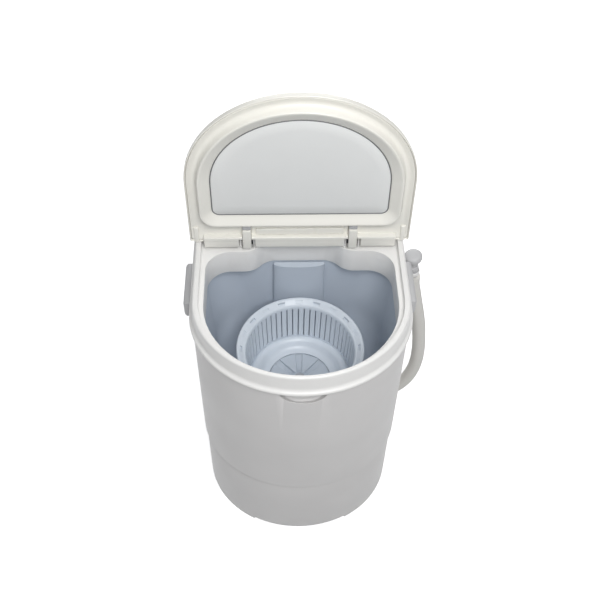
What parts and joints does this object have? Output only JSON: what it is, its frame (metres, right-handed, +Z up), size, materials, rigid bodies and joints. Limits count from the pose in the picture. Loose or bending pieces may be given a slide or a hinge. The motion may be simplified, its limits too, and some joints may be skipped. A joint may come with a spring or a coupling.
{
  "type": "top load washing machine",
  "caption": "Small D-shaped top load washing machine with a hinged lid, wash tub, lift-out spin basket, belt drive and drain hose.",
  "frame": {"origin": "on the floor, under the middle of the cabinet's footprint", "axes": "+X to the object's right seen from the front, +Y to the back, +Z up"},
  "size_m": [0.4463, 0.3616, 0.8088],
  "materials": {
    "cabinet_plastic": "satin moulded",
    "collar_plastic": "satin moulded",
    "lid_plastic": "satin moulded",
    "panel_plastic": "fine grained",
    "tub_plastic": "satin moulded",
    "basket_plastic": "satin moulded",
    "pulsator_plastic": "satin moulded",
    "grip_plastic": "satin moulded",
    "hose_plastic": "soft moulded",
    "rubber": "matte",
    "black_plastic": "matte moulded",
    "steel": "ground",
    "motor_paint": "enamelled",
    "zinc": "zinc plated",
    "bronze": "sintered"
  },
  "bodies": {
    "cabinet": {"base_shell": "cabinet_plastic", "bearing_housing": "zinc", "bottom_plate": "cabinet_plastic", "capacitor": "grip_plastic", "console_housing": "collar_plastic", "control_panel": "panel_plastic", "cord_gland": "black_plastic", "drain_elbow": "tub_plastic", "drain_hose": "hose_plastic", "drain_pipe": "rubber", "drain_spigot": "collar_plastic", "drive_belt": "rubber", "foot_front_left": "rubber", "foot_front_right": "rubber", "foot_rear_left": "rubber", "foot_rear_right": "rubber", "front_scoop": "cabinet_plastic", "hinge_bracket_left": "collar_plastic", "hinge_bracket_right": "collar_plastic", "hinge_pin_left": "steel", "hinge_pin_right": "steel", "hose_end_cap": "grip_plastic", "hose_holder": "collar_plastic", "motor_bolt_1": "zinc", "motor_bolt_2": "zinc", "motor_bolt_3": "zinc", "motor_bolt_4": "zinc", "motor_bracket": "zinc", "motor_can": "motor_paint", "overflow_cover": "tub_plastic", "shaft_bush": "bronze", "shaft_seal": "rubber", "side_grip_left": "grip_plastic", "side_grip_right": "grip_plastic", "timer_body": "black_plastic", "top_collar": "collar_plastic", "tub": "tub_plastic", "upper_shell": "cabinet_plastic"},
    "lid": {"lid_shell": "lid_plastic", "lid_inner_frame": "lid_plastic", "lid_panel": "panel_plastic", "hinge_clip_left": "lid_plastic", "hinge_clip_right": "lid_plastic"},
    "knob": {"timer_knob": "grip_plastic"},
    "pulsator": {"pulsator": "pulsator_plastic", "pulsator_screw": "steel", "drive_shaft": "steel", "tub_pulley": "zinc"},
    "basket": {"spin_basket": "basket_plastic"},
    "rotor": {"motor_shaft": "steel", "motor_pulley": "zinc"}
  },
  "joints": [
    {"name": "lid_hinge", "type": "hinge", "parent": "cabinet", "child": "lid", "pos_m": [0, 0.10235, 0.5259], "axis": [1, 0, 0], "range_deg": [0, 92.9]},
    {"name": "timer_turn", "type": "hinge", "parent": "cabinet", "child": "knob", "pos_m": [0, 0.14555, 0.54], "axis": [0, 0, -1], "range_deg": [0, 300]},
    {"name": "pulsator_spin", "type": "hinge", "parent": "cabinet", "child": "pulsator", "pos_m": [0, -0.02145, 0.27], "axis": [0, 0, 1], "continuous": true},
    {"name": "basket_lift", "type": "slide", "parent": "pulsator", "child": "basket", "axis": [0, 0, 1], "range_m": [0, 0.26]},
    {"name": "motor_spin", "type": "hinge", "parent": "cabinet", "child": "rotor", "pos_m": [0, 0.08355, 0.205], "axis": [0, 0, 1], "continuous": true}
  ],
  "couplings": [
    {"joint": "motor_spin", "follows": "pulsator_spin", "ratio": 3.75}
  ]
}
